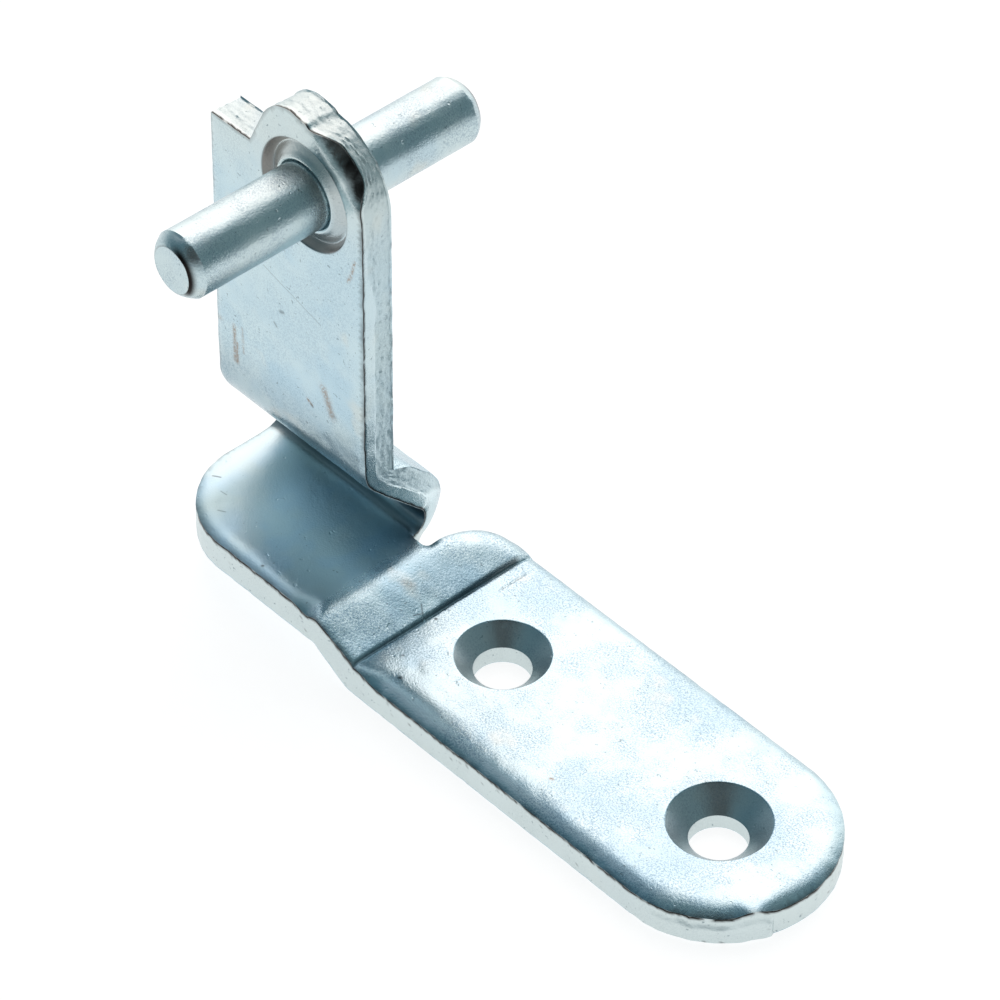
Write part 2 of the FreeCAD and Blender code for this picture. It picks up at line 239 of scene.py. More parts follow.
def blank_outline():
    """The plate's outline before folding, anticlockwise."""
    ledge = PIN_S + LEDGE_RISE
    lobe_top = LEG_TOP + LEG_SHIFT
    corners = [
        (SCREW_X, -HALF_WIDTH),
        (SCREW_X + HALF_WIDTH, 0.0, HALF_WIDTH, 1),
        (SCREW_X, HALF_WIDTH, HALF_WIDTH, 1),
        (SHOULDER_X + SHOULDER_RADIUS, HALF_WIDTH),
        (SHOULDER_X, HALF_WIDTH - SHOULDER_RADIUS, SHOULDER_RADIUS, 1),
        (SHOULDER_X, NOTCH_FLOOR + NOTCH_CORNER),
        (SHOULDER_X - NOTCH_CORNER, NOTCH_FLOOR, NOTCH_CORNER, -1),
        (TAB_X + TAB_CORNER, NOTCH_FLOOR),
        (TAB_X, NOTCH_FLOOR + TAB_CORNER, TAB_CORNER, -1),
        (TAB_X, PIN_S + 0.3),
        (PIN_X + 0.8, PIN_S + 10.35, EAR_RADIUS, 1),
        (PIN_X + 0.2, PIN_S + 10.8),
        (PIN_X - 1.85, lobe_top - 0.05),
        (PIN_X - 7.6, PIN_S + 7.6, LOBE_RADIUS, 1),
        (PIN_X - 10.1, ledge),
        (PAD_X, ledge),
        (PAD_X, PAD_CORNER - HALF_WIDTH),
        (PAD_X + PAD_CORNER, -HALF_WIDTH, PAD_CORNER, 1),
    ]
    return trace(corners, RIM_STEP)


def nearest_on(points, loop):
    """Distance from each point to a closed loop."""
    start = loop
    along = np.roll(loop, -1, axis=0) - loop
    length_squared = (along ** 2).sum(axis=1)
    distances = []
    for chunk in np.array_split(points, max(1, len(points) // 1500)):
        offset = chunk[:, None, :] - start[None, :, :]
        share = np.clip((offset * along).sum(axis=2) / length_squared, 0.0, 1.0)
        gap = offset - share[:, :, None] * along
        distances.append(np.sqrt((gap ** 2).sum(axis=2).min(axis=1)))
    return np.concatenate(distances)


def inside(points, loop):
    """True for the points inside a closed loop, by counting crossings."""
    after = np.roll(loop, -1, axis=0)
    answers = []
    for chunk in np.array_split(points, max(1, len(points) // 1500)):
        x, s = chunk[:, 0:1], chunk[:, 1:2]
        spans = (loop[:, 1] > s) != (after[:, 1] > s)
        rise = np.where(after[:, 1] == loop[:, 1], 1.0, after[:, 1] - loop[:, 1])
        cross = loop[:, 0] + (s - loop[:, 1]) * (after[:, 0] - loop[:, 0]) / rise
        answers.append((spans & (x < cross)).sum(axis=1) % 2 == 1)
    return np.concatenate(answers)


def ring(x, s, radius):
    """Evenly spaced points on a circle."""
    angles = TAU * np.arange(RING_POINTS) / RING_POINTS
    return np.column_stack([x + radius * np.cos(angles), s + radius * np.sin(angles)])


def grid_rows(s_values, x_low, x_high, step):
    """Rows of points, every other row shifted by half a step."""
    rows = []
    for number, s in enumerate(s_values):
        xs = np.arange(x_low + step * (0.25 + 0.5 * (number % 2)), x_high, step)
        rows.append(np.column_stack([xs, np.full(len(xs), s)]))
    return np.vstack(rows)


def mark_points(mark):
    """Points that carry one small mark."""
    start, end = np.array(mark[0]), np.array(mark[1])
    half_width = mark[2]
    length = max(np.linalg.norm(end - start), 1e-6)
    along = (end - start) / length
    side = np.array([-along[1], along[0]])
    steps = np.arange(-2 * half_width, length + 2.01 * half_width, 0.75 * half_width)
    shifts = np.array([-1.9, -1.2, -0.6, 0.0, 0.6, 1.2, 1.9]) * half_width
    places = start + steps[:, None, None] * along + shifts[None, :, None] * side
    return places.reshape(-1, 2)


def mark_mask(flat, marks):
    """How strongly the marks show at each point."""
    mask = np.zeros(len(flat))
    for start, end, half_width, strength in marks.values():
        start, along = np.array(start), np.array(end) - np.array(start)
        share = np.clip(((flat - start) @ along) / (along @ along), 0.0, 1.0)
        gap = np.linalg.norm(flat - start - share[:, None] * along, axis=1) / half_width
        mask = np.maximum(mask, strength * np.exp(-gap ** 2))
    return mask


# Rings about the pin's hole, closer together where the staked ring turns.
STAKE_RINGS = (4.5, 4.56, 4.64, 4.74, 4.9, 5.1, 5.4, 5.8, 6.2, 6.5, 6.7, 6.85, 6.95, 7.1, 7.3,
               7.5, 7.62, 7.72, 7.85, 8.1)
SINK_STEPS = (0.0, 0.12, 0.5, 1.0, 1.5, 2.0)  # rings down each countersink, from the hole
SINK_RIM = (-0.18, -0.06, 0.0, 0.06, 0.16, 0.4)  # rings about each countersink's edge


def pin_distance(points):
    """Distance in the blank from the middle of the pin."""
    return np.hypot(points[:, 0] - PIN_X, points[:, 1] - PIN_S)


def screw_distance(points, x):
    """Distance in the blank from the middle of the screw hole at x."""
    return np.hypot(points[:, 0] - x, points[:, 1])


def fill_points(outline):
    """Rows of points over the blank, closer together where it bends."""
    row_gap = GRID_STEP * math.sqrt(0.75)
    top = outline[:, 1].max()
    strap = grid_rows(np.arange(-HALF_WIDTH, HALF_WIDTH, row_gap), PAD_X, outline[:, 0].max(),
                      GRID_STEP)
    leg = grid_rows(np.arange(HALF_WIDTH, top, row_gap), PAD_X, TAB_X, GRID_STEP)
    curl = grid_rows(np.arange(2.6, CURL_END + 0.5, BEND_STEP), PAD_X, TAB_X, GRID_STEP)
    knee_rows = np.arange(KNEE_START - 0.6, KNEE_END + 0.6, BEND_STEP)
    knee = grid_rows(knee_rows, PAD_X, TAB_X, GRID_STEP)
    in_curl = (strap[:, 0] < TAB_X) & (strap[:, 1] > 2.5)
    in_knee = (leg[:, 1] > KNEE_START - 0.7) & (leg[:, 1] < KNEE_END + 0.7)
    in_crease = abs(strap[:, 0] - CREASE_X) < 0.8
    in_curl_top = leg[:, 1] < CURL_END + 0.5
    ys = np.arange(-HALF_WIDTH, HALF_WIDTH, CREASE_STEP)
    crease = [np.column_stack([np.full(len(ys), CREASE_X + shift), ys]) for shift in CREASE_LINES]
    marks = [mark_points(mark) for group in (DARK_MARKS, BROWN_MARKS) for mark in group.values()]
    return np.vstack([strap[~in_curl & ~in_crease], leg[~in_knee & ~in_curl_top], curl, knee,
                      *crease, *marks])


def hole_rings():
    """Rings about the pin's hole and down both countersinks."""
    rings = [ring(PIN_X, PIN_S, radius) for radius in STAKE_RINGS]
    for x, sink in SINK_RADII.items():
        radii = [HOLE_RADIUS + step for step in SINK_STEPS] + [sink + step for step in SINK_RIM]
        rings += [ring(x, 0.0, radius) for radius in radii]
    return rings


def blank_points(outline):
    """Points that fill the blank, clear of its outline and of the rings."""
    cloud = fill_points(outline)
    rim_gap = nearest_on(cloud, outline)
    cloud = cloud[(rim_gap > RIM_MARGIN) & inside(cloud, outline)]
    keep = pin_distance(cloud) > STAKE_RINGS[-1] + RING_MARGIN
    for x, sink in SINK_RADII.items():
        keep &= screw_distance(cloud, x) > sink + SINK_RIM[-1] + RING_MARGIN
    return cloud[keep]


def triangulate_blank(outline):
    """Flat triangles over the blank, with its three holes left open."""
    loops = [outline] + hole_rings()
    edges = []
    first = 0
    for loop in loops:
        numbers = np.arange(len(loop)) + first
        edges += list(zip(numbers.tolist(), np.roll(numbers, -1).tolist()))
        first += len(loop)
    points = np.vstack(loops + [blank_points(outline)])
    coords = [Vector(point) for point in points.tolist()]
    verts, _, faces, _, _, _ = delaunay_2d_cdt(coords, edges, [], 1, 1e-6, False)
    flat = np.array([tuple(vert) for vert in verts])
    faces = np.array([face for face in faces if len(face) == 3])
    centres = flat[faces].mean(axis=1)
    solid = inside(centres, outline)
    solid &= pin_distance(centres) > STAKE_RINGS[0]
    for x in SINK_RADII:
        solid &= screw_distance(centres, x) > HOLE_RADIUS
    return flat, faces[solid]


# ---- folding the blank ----

def joggle_heights(x, y):
    """Heights of the plate's upper and lower faces along the strap. Each square root rounds the
    corner where two straight lines meet."""
    run = JOGGLE_RUN + JOGGLE_SKEW * y / HALF_WIDTH
    back = CREASE_X - x
    step = JOGGLE_STEP + 0.014 * y - 0.4 * smooth_step(12.5, 14.5, y)
    slope = JOGGLE_SLOPE - 0.001 * y
    climb = step * smooth_step(-0.02, 0.36, back) + slope * np.maximum(back - 0.1, 0.0)
    upper = (climb + JOGGLE_RISE - np.sqrt((climb - JOGGLE_RISE) ** 2 + 0.3)) / 2
    upper = np.maximum(upper, 0.0) * (back > -0.1)

    low_slope = JOGGLE_RISE / run
    lead = THICKNESS * (np.hypot(run, JOGGLE_RISE) - run) / JOGGLE_RISE
    low_climb = (back - lead) * low_slope
    lower = (low_climb + np.sqrt(low_climb ** 2 + 0.15)) / 2
    return THICKNESS + upper, np.minimum(lower, JOGGLE_RISE)


def bend(x, s, w):
    """Fold the blank: x, s and w to X, Y and Z."""
    upper, lower = joggle_heights(x, s)
    y = s.copy()
    z = lower + (upper - lower) * (w / THICKNESS + 0.5)

    on_tab = (x <= TAB_X + BEND_SLACK) & (s > FOLD_LINE)
    turn = (s - FOLD_LINE) / CURL_MIDDLE
    thinning = smooth_step(0.1, 0.7, turn) * (1 - smooth_step(CURL_TURN - 0.5, CURL_TURN + 0.6, turn))
    thin_w = np.where(w < 0, w * (1 - CURL_THINNING * thinning), w)
    angle = np.minimum(turn, CURL_TURN) - math.pi / 2
    radius = CURL_MIDDLE - thin_w
    curl_y = CURL_Y + radius * np.cos(angle)
    curl_z = CURL_Z + radius * np.sin(angle)
    past = np.maximum(s - CURL_END, 0.0)
    curl_y = curl_y - past * DIAGONAL
    curl_z = curl_z + past * DIAGONAL

    knee_angle = math.radians(225) - np.clip((s - KNEE_START) / KNEE_MIDDLE, 0.0, KNEE_TURN)
    knee_radius = KNEE_MIDDLE + w
    knee_y = KNEE_Y + knee_radius * np.cos(knee_angle)
    knee_z = KNEE_Z + knee_radius * np.sin(knee_angle) + np.maximum(s - KNEE_END, 0.0)

    curled = on_tab & (s <= KNEE_START)
    upright = on_tab & (s > KNEE_START)
    y = np.where(curled, curl_y, np.where(upright, knee_y, y))
    z = np.where(curled, curl_z, np.where(upright, knee_z, z))
    return np.column_stack([x, y, z])


def sink_knee(points, s, w):
    """Lower the inside of the knee, which is pressed into a sharp nick at the tab's end."""
    x, y = points[:, 0], points[:, 1]
    around = (s > KNEE_START - 4.5) & (s < KNEE_END + 0.2) & (w < 1.5) & (x < TAB_X + TAB_SLACK)
    backside = np.clip((HALF_THICK - w) / THICKNESS, 0.0, 1.0) ** 1.6
    near_end = 0.25 + 0.75 * np.clip(1 - (TAB_X - x) / 5.0, 0.0, 1.0) ** 2
    depth = KNEE_NICK * np.clip(1 - (y - 0.7) / 3.2, 0.0, 1.0) ** 1.5
    points[:, 2] -= around * backside * near_end * depth
    return points


def set_back_curl_end(x, s, w):
    """Where the stretched outside of the curl draws back from the notch."""
    turn = (s - FOLD_LINE) / CURL_MIDDLE
    rise = smooth_step(-0.1, 0.6, turn)
    fall = 1 - smooth_step(CURL_TURN - 1.9, CURL_TURN + 1.4, turn)
    outside = np.clip((HALF_THICK - w) / THICKNESS, 0.0, 1.0) ** 1.7
    near_end = np.clip(1 - (TAB_X - x) / 4.0, 0.0, 1.0) ** 2 * (x < TAB_X + BEND_SLACK)
    return x - CURL_SET_BACK * rise * fall * outside * near_end


# ---- the plate's surfaces ----

STAKE_PROFILE = {4.5: 0.6, 4.6: 0.45, 4.72: 0.08, 4.9: -0.02, 5.15: 0.06, 5.4: 0.34, 6.55: 1.06,
                 6.8: 1.2, 6.95: 1.18, 7.6: 0.12, 7.74: 0.0}  # the staked ring's depth at each radius
STAKE_EDGE = 7.7
STAKE_CLEAR = 8.2  # the faces are left smooth up to this radius
PILLOW_WIDTH = 4.4
PILLOW_DEPTH = 1.15
PILLOW_POWER = 3.0
FLAT_SPOT = -28  # degrees round the strap's end, where its rounding is pressed flat


def pin_angle(points):
    """Degrees round the pin in the blank, from +x."""
    return np.degrees(np.arctan2(points[:, 1] - PIN_S, points[:, 0] - PIN_X))


def end_angle(points):
    """Degrees round the strap's end screw in the blank, from +x."""
    return np.degrees(np.arctan2(points[:, 1], points[:, 0] - SCREW_X))


def edge_rounding(flat):
    """Width, depth and power of the rounding pressed along the front edge, at each point."""
    x, s = flat[:, 0], flat[:, 1]
    tab = smooth_step(FOLD_LINE - 2.0, FOLD_LINE + 2.0, s) * (x < TAB_X + TAB_SLACK)
    slope = smooth_step(CREASE_X - 9.0, CREASE_X - 6.5, x) * (s < 0)
    slope = slope * (1 - smooth_step(CREASE_X, CREASE_X + 5, x))
    pad = (1 - smooth_step(CREASE_X - 12.0, CREASE_X - 8.0, x)) * (1 - tab)
    spot = np.exp(-((end_angle(flat) - FLAT_SPOT) / 8.0) ** 2) * (x > SCREW_X + 5)
    width = PILLOW_WIDTH - 3.3 * tab - 2.6 * slope - 1.3 * pad - 1.8 * spot
    depth = PILLOW_DEPTH - 0.95 * tab - 0.88 * slope - 0.65 * pad - 0.85 * spot
    power = PILLOW_POWER - tab
    notch = np.exp(-((x - TAB_X - 1.5) ** 2 + (s - NOTCH_FLOOR - 1.0) ** 2) / 4.0 ** 2)
    notch = np.clip(notch * 1.3, 0, 1)
    width = width - (width - 1.4) * notch
    depth = depth - (depth - 0.35) * notch
    angle = pin_angle(flat)
    coined = smooth_step(14, 38, angle) * (1 - smooth_step(60, 86, angle))
    coined = coined * (s > PIN_S - 4) * (x < TAB_X + TAB_SLACK)
    return width + 2.3 * coined, depth + 1.9 * coined, power + 1.7 * coined


def stake_depth(flat):
    """Depth of the ring that is staked round the pin."""
    radius = pin_distance(flat)
    depth = np.interp(radius, list(STAKE_PROFILE), list(STAKE_PROFILE.values()), right=0.0)
    return depth * (radius < STAKE_CLEAR)


def sink_depth(flat):
    """Depth of the two countersinks."""
    depth = np.zeros(len(flat))
    for x, sink in SINK_RADII.items():
        into = sink - screw_distance(flat, x)
        depth += (into + np.sqrt(into * into + 0.004)) / 2 * (into > -2)
    return depth


def crease_depth(flat):
    """Depth of the line pressed across the strap, and of the faint mark beside it."""
    x, y = flat[:, 0], flat[:, 1]
    on_strap = (y < HALF_WIDTH - 0.6)
    line = 0.08 * np.exp(-((x - CREASE_X) / 0.2) ** 2) * on_strap
    beside = smooth_step(6.5, 8.0, y) * (1 - smooth_step(11.5, 13.0, y))
    mark = 0.09 * np.exp(-((x - CREASE_X - 2.2) / 0.22) ** 2) * beside
    return line + mark


def crease_mask(flat):
    """Where the pressed line is darkened with painted shade."""
    x, y = flat[:, 0], flat[:, 1]
    narrow = 0.1 + 0.11 * smooth_step(-6.0, 9.0, y) + 0.02 * ripple(flat, 1.4, 51)
    across = np.exp(-((x - CREASE_X + 0.12) / narrow) ** 2)
    return 0.8 * across * (1 - smooth_step(12.0, 13.4, y)) * (x > PAD_X + 12)


def dents(flat):
    """Handling dents over the strap and the leg, shallow and seeded."""
    rng = np.random.default_rng(11)
    depth = np.zeros(len(flat))
    spots = [(rng.uniform(PAD_X, SCREW_X + 14), rng.uniform(-14, 14)) for _ in range(26)]
    spots += [(rng.uniform(PAD_X, TAB_X), rng.uniform(KNEE_END, PIN_S - 9)) for _ in range(18)]
    for x, s in spots:
        size = rng.uniform(0.35, 0.9)
        depth += rng.uniform(0.02, 0.07) * np.exp(
            -(((flat[:, 0] - x) / size) ** 2 + ((flat[:, 1] - s) / (size * 0.7)) ** 2))
    return depth


def pad_mask(flat):
    """The raised pad, from 0 to 1."""
    rise = 1 - smooth_step(CREASE_X - 9.5, CREASE_X - 7.5, flat[:, 0])
    return rise * (1 - smooth_step(FOLD_LINE + 3, KNEE_START, flat[:, 1]))


def front_drop(flat, rim_gap):
    """How far the front face lies below the plate's nominal face."""
    width, depth, power = edge_rounding(flat)
    width = width * (1 + 0.07 * ripple(flat, 7.0, 3))
    share = np.clip(1 - rim_gap / width, 0.0, 1.0)
    rough = 0.035 * ripple(flat, 9.0, 5) + 0.012 * ripple(flat, 2.6, 6)
    rough = rough * (1 - 0.75 * pad_mask(flat))
    rough = np.where(pin_distance(flat) < STAKE_CLEAR, 0.0, np.abs(rough))
    above_knee = np.clip(KNEE_END + 5 - flat[:, 1], 0.0, 5.0) * (flat[:, 1] > KNEE_START - 2)
    lean = 0.0023 * above_knee ** 2 * (flat[:, 0] < TAB_X + TAB_SLACK)
    return (depth * share ** power + lean + stake_depth(flat) + sink_depth(flat) + crease_depth(flat)
            + dents(flat) + rough)


def back_drop(flat, rim_gap):
    """How far the back face lies inside the plate's nominal face."""
    share = np.clip(1 - rim_gap / 0.9, 0.0, 1.0)
    rough = 0.03 * ripple(flat, 8.0, 15) + 0.012 * ripple(flat, 2.2, 16)
    rough = np.where(pin_distance(flat) < STAKE_CLEAR, 0.0, np.abs(rough))
    return 0.05 * share ** 2 + stake_depth(flat) + rough


# Levels down the sheared edge, closer together at the lip and at the tear line.
WALL_LEVELS = np.array([0.0, 0.015, 0.035, 0.06, 0.1, 0.16, 0.23, 0.3, 0.36, 0.4, 0.44, 0.5, 0.57,
                        0.64, 0.71, 0.78, 0.85, 0.91, 0.96, 1.0])
BURR_END = -19  # degrees round the strap's end, where the sheared edge steps back


def lip_share(along, level, on_leg):
    """The jagged lip just below the front face, where the wall is painted dark as shade."""
    jag = 0.016 * ripple(along, 1.7, 21) + 0.014 * ripple(along, 0.9, 26)
    middle = 0.045 - 0.015 * on_leg
    half_width = 0.052 - 0.022 * on_leg
    lip = np.exp(-((level - middle - jag * (1 - 0.6 * on_leg)) / half_width) ** 2)
    strength = 1.1 + 0.4 * ripple(along, 4.0, 27) + 0.3 * ripple(along, 1.2, 28)
    return lip * np.clip(strength, 0.0, 1.0)


def torn_share(along, level):
    """Where the leg's edge is torn, behind its smooth sheared band."""
    s = along[:, 1]
    tear_line = 0.4 + 0.03 * ripple(along, 5.0, 23)
    tear_line = tear_line - 0.28 * smooth_step(PIN_S - 12, PIN_S - 4, s)
    tear_line = tear_line + 0.75 * (1 - smooth_step(CURL_END - 4.5, CURL_END + 1.5, s))
    return smooth_step(tear_line, tear_line + 0.05, level)


def strap_edge(place, level, lip):
    """How far the strap's sheared edge stands out, with the step on its round end."""
    angle = end_angle(place)
    burr = smooth_step(-115, -50, angle) * (angle < BURR_END) * (place[:, 0] > SCREW_X - 8)
    wall = 0.03 * ripple(place, 1.6, 22) - 0.05 * lip - 0.05 * smooth_step(0.93, 1.0, level)
    return wall + 0.45 * burr * smooth_step(0.15, 0.5, level)


def leg_edge(place, level, lip, torn, top):
    """How far the leg's sheared edge stands out, with its torn band."""
    stretched = place * np.array([1, 1, 2.2])
    tearing = 0.055 * ripple(stretched, 1.3, 24) + 0.035 * ripple(stretched, 0.6, 25)
    wall = torn * (-0.1 - 0.12 * (level - 0.4) + tearing) - 0.03 * lip
    return wall - (0.1 - 0.08 * top) * smooth_step(0.94, 1.0, level)


def wall_offset(x, s, level):
    """How far the sheared edge stands out, where it is torn, and how dark it is. The level is 0 at
    the front face and 1 at the back."""
    place = np.column_stack([x, s, level * THICKNESS])
    along = place[:, :2]
    on_leg = smooth_step(FOLD_LINE, FOLD_LINE + 6, s) * (x < TAB_X + TAB_SLACK)
    top = smooth_step(PIN_S - 9, PIN_S - 3, s)
    lip = lip_share(along, level, on_leg)
    torn = torn_share(along, level)
    heel = np.exp(-((level - 0.985) / 0.02) ** 2) * (ripple(along, 1.0, 29) > 0.1)
    heel = heel * on_leg * (1 - top)
    specks = smooth_step(1.5, 1.9, ripple(place, 0.9, 44)) * (1 - on_leg)
    # painted shade in the lip's groove, with dark dots along the heel and dark specks
    dark = np.clip(1.5 * lip + 0.7 * heel + 0.5 * specks, 0.0, 1.0)
    strap = strap_edge(place, level, lip)
    leg = leg_edge(place, level, lip, torn, top)
    return strap * (1 - on_leg) + leg * on_leg, torn * on_leg, dark


def wall_normals(flat, rim_edges):
    """Outward directions in the blank, at the points on its rims."""
    normals = np.zeros_like(flat)
    along = flat[rim_edges[:, 1]] - flat[rim_edges[:, 0]]
    outward = np.column_stack([along[:, 1], -along[:, 0]])
    for column in (0, 1):
        np.add.at(normals, rim_edges[:, column], outward)
    lengths = np.linalg.norm(normals, axis=1)
    lengths[lengths == 0] = 1.0
    return normals / lengths[:, None]


def rim_edges_of(faces):
    """Edges that belong to one triangle only, in that triangle's order."""
    edges = np.vstack([faces[:, [0, 1]], faces[:, [1, 2]], faces[:, [2, 0]]])
    keys = np.sort(edges, axis=1)
    _, index, count = np.unique(keys, axis=0, return_index=True, return_counts=True)
    return edges[index[count == 1]]


def leg_mask(points):
    """The leg above the knee, from 0 to 1."""
    return smooth_step(KNEE_END - 2, KNEE_END + 4, points[:, 1]) * (points[:, 0] < TAB_X + TAB_SLACK)


def wall_layers(flat, rim, normals, on_outline, front_w, back_w):
    """Points of the sheared edge between the two faces, and where they are torn and dark."""
    points = []
    torn = []
    dark = []
    for level in WALL_LEVELS[1:-1]:
        levels = np.full(len(rim), level)
        offset, torn_here, dark_here = wall_offset(flat[rim, 0], flat[rim, 1], levels)
        place = flat[rim] + normals[rim] * np.where(on_outline, offset, 0.0)[:, None]
        w = front_w[rim] + (back_w[rim] - front_w[rim]) * level
        points.append(np.column_stack([place, w]))
        torn.append(np.where(on_outline, torn_here, 0.0))
        dark.append(np.where(on_outline, dark_here, 0.0))
    return np.vstack(points), np.concatenate(torn), np.concatenate(dark)


def wall_faces(rim, rim_edges, count):
    """Quads down the sheared edge. Points are numbered front face, back face, then the layers."""
    layers = len(WALL_LEVELS) - 2
    columns = {}
    for order, vertex in enumerate(rim.tolist()):
        between = [2 * count + layer * len(rim) + order for layer in range(layers)]
        columns[vertex] = [vertex] + between + [count + vertex]
    quads = []
    for first, second in rim_edges.tolist():
        left, right = columns[first], columns[second]
        for layer in range(layers + 1):
            quads.append((left[layer], left[layer + 1], right[layer + 1], right[layer]))
    return quads


def rim_painted_shade(flat, rim_gap):
    """Painted shade in a dark line along the front face's edge, at its lip."""
    x, s = flat[:, 0], flat[:, 1]
    on_leg = leg_mask(flat)
    uneven = np.clip(0.75 + 0.3 * ripple(flat, 3.0, 33), 0.0, 1.0) * (rim_gap < RIM_TOUCH)
    far = smooth_step(0.0, 12.0, s) * (x > TAB_X)
    everywhere = (0.6 - 0.1 * on_leg - 0.35 * far - 0.1 * pad_mask(flat)) * uneven
    right_of_leg = 0.6 * uneven * (x > TAB_X - 0.6) * on_leg
    return np.maximum(everywhere, right_of_leg)


def fold_painted_shade(flat):
    """Painted shade: in the fold's hollow, as a line along it on the pad, and at the foot of the leg.
    """
    x, s = flat[:, 0], flat[:, 1]
    turn = (s - FOLD_LINE) / CURL_MIDDLE
    hollow = smooth_step(0.3, 0.9, turn) * (1 - smooth_step(2.1, 3.0, turn))
    hollow = 0.6 * hollow * smooth_step(TAB_X - 8.0, TAB_X - 3.0, x)
    foot = 0.6 * smooth_step(-0.12, 0.12, turn) * (1 - smooth_step(0.6, 1.0, turn))
    shade = 0.22 * (s > KNEE_START) * (1 - smooth_step(KNEE_END, KNEE_END + 8, s))
    return np.maximum.reduce([hollow, foot, shade]) * (x < TAB_X + 0.1)


def coined_painted_reflection(flat, rim_gap):
    """A painted dark reflection in a band on the coined corner of the ear."""
    width, depth, _ = edge_rounding(flat)
    band = smooth_step(0.5, 1.6, depth) * smooth_step(0.6, 0.9, 1 - rim_gap / width)
    return leg_mask(flat) * band * (0.9 - 0.75 * smooth_step(52, 66, pin_angle(flat)))


def front_marks_and_shade(flat, rim_gap):
    """Where the front face is dark: dark marks, a dark line round the staked ring, painted shade in the
    fold, the crease and the edge's lip, and a painted dark reflection on the ear.
    """
    stake_rim = 0.55 * np.exp(-((pin_distance(flat) - STAKE_EDGE) / 0.1) ** 2)
    return np.maximum.reduce([coined_painted_reflection(flat, rim_gap), crease_mask(flat), rim_painted_shade(flat, rim_gap),
                              stake_rim, fold_painted_shade(flat), mark_mask(flat, DARK_MARKS)])


def finish_masks(blank, on_face, torn):
    """Masks that tint, dull or polish parts of the plate, and one that paints shade on the pad."""
    x, s = blank[:, 0], blank[:, 1]
    radius = pin_distance(blank)
    stake_wall = smooth_step(6.8, 7.0, radius) * (1 - smooth_step(7.6, 7.75, radius))
    stake_floor = smooth_step(4.9, 5.3, radius) * (1 - smooth_step(6.6, 6.9, radius))
    tab = (s > FOLD_LINE + 3) & (x < TAB_X + TAB_SLACK)
    leg = leg_mask(blank)
    pad = pad_mask(blank) * on_face
    # pad_shade: painted shade over the pad's left interior, which trims the reflection there
    pad_shade = smooth_step(PAD_X + 3.4, PAD_X + 6.4, x) * (1 - smooth_step(PAD_X + 7.0, PAD_X + 13.0, x))
    turn = (s - FOLD_LINE) / CURL_MIDDLE
    polish = smooth_step(1.4, 2.6, turn) * (1 - smooth_step(3.8, 5.0, turn)) * (1 - 0.5 * torn)
    return {
        "polish": polish * (1 - on_face) * tab,
        "cream": smooth_step(PIN_S - 8, PIN_S + 6, s) * leg,
        "calm": np.maximum(0.7 * leg, pad),
        "satin": pad,
        "pad_shade": pad * pad_shade,
        "tinted": pad * smooth_step(PAD_X + 2.0, PAD_X + 5.5, x),
        "stake": np.maximum(stake_wall, 0.35 * stake_floor) * on_face,
        "side": (1 - on_face) * (1 - 0.7 * tab),
    }


def build_plate():
    """Points, faces and finish masks of the folded plate."""
    outline = blank_outline()
    outline = outline + 0.03 * np.column_stack([ripple(outline, 3.0, 31), ripple(outline, 3.0, 32)])
    flat, faces = triangulate_blank(outline)
    count = len(flat)
    rim_gap = nearest_on(flat, outline)
    front_w = HALF_THICK - front_drop(flat, rim_gap)
    back_w = -HALF_THICK + back_drop(flat, rim_gap)

    rim_edges = rim_edges_of(faces)
    normals = wall_normals(flat, rim_edges)
    rim = np.unique(rim_edges)
    on_outline = rim_gap[rim] < RIM_TOUCH
    wall, wall_torn, wall_dark = wall_layers(flat, rim, normals, on_outline, front_w, back_w)
    blank = np.vstack([np.column_stack([flat, front_w]), np.column_stack([flat, back_w]), wall])
    front_faces = [tuple(face) for face in faces.tolist()]
    back_faces = [tuple(count + number for number in face[::-1]) for face in faces.tolist()]

    behind = np.zeros(len(blank) - count)
    torn = np.concatenate([np.zeros(2 * count), wall_torn])
    on_face = np.concatenate([np.ones(2 * count), np.zeros(len(wall))])
    masks = finish_masks(blank, on_face, torn)
    masks["torn"] = torn
    masks["dark"] = np.concatenate([front_marks_and_shade(flat, rim_gap), np.zeros(count), wall_dark])
    masks["brown"] = np.concatenate([mark_mask(flat, BROWN_MARKS), behind])
    masks["sunk"] = np.concatenate([sink_depth(flat) > 0.15, behind])

    x = set_back_curl_end(blank[:, 0], blank[:, 1], blank[:, 2])
    points = sink_knee(bend(x, blank[:, 1], blank[:, 2]), blank[:, 1], blank[:, 2])
    points = np.clip(points, np.array(BRACKET_LOW), np.array(BRACKET_HIGH))
    return points, front_faces + back_faces + wall_faces(rim, rim_edges, count), masks


def mesh_object(name, points, faces, masks, sharp_degrees):
    """A smooth-shaded mesh with its masks as point attributes, from millimetres."""
    mesh = bpy.data.meshes.new(name)
    mesh.from_pydata((np.asarray(points) * MM).tolist(), [], faces)
    mesh.update()
    for mask, values in masks.items():
        attribute = mesh.attributes.new(mask, "FLOAT", "POINT")
        attribute.data.foreach_set("value", np.asarray(values, dtype=np.float32))
    mesh.polygons.foreach_set("use_smooth", [True] * len(mesh.polygons))
    mesh.set_sharp_from_angle(angle=math.radians(sharp_degrees))
    thing = bpy.data.objects.new(name, mesh)
    bpy.context.scene.collection.objects.link(thing)
    return thing


# ---- the pin ----

PIN_FACE_RADIUS = 3.2
PIN_LEAD = 1.6
PIN_NOSE = 3.2
PIN_SIDES = 144
PIN_DISH = 0.05  # how far the middle of the pin's end is sunk
PIN_FACE_RINGS = (0.8, 1.6, 2.3, 2.8, 3.1)


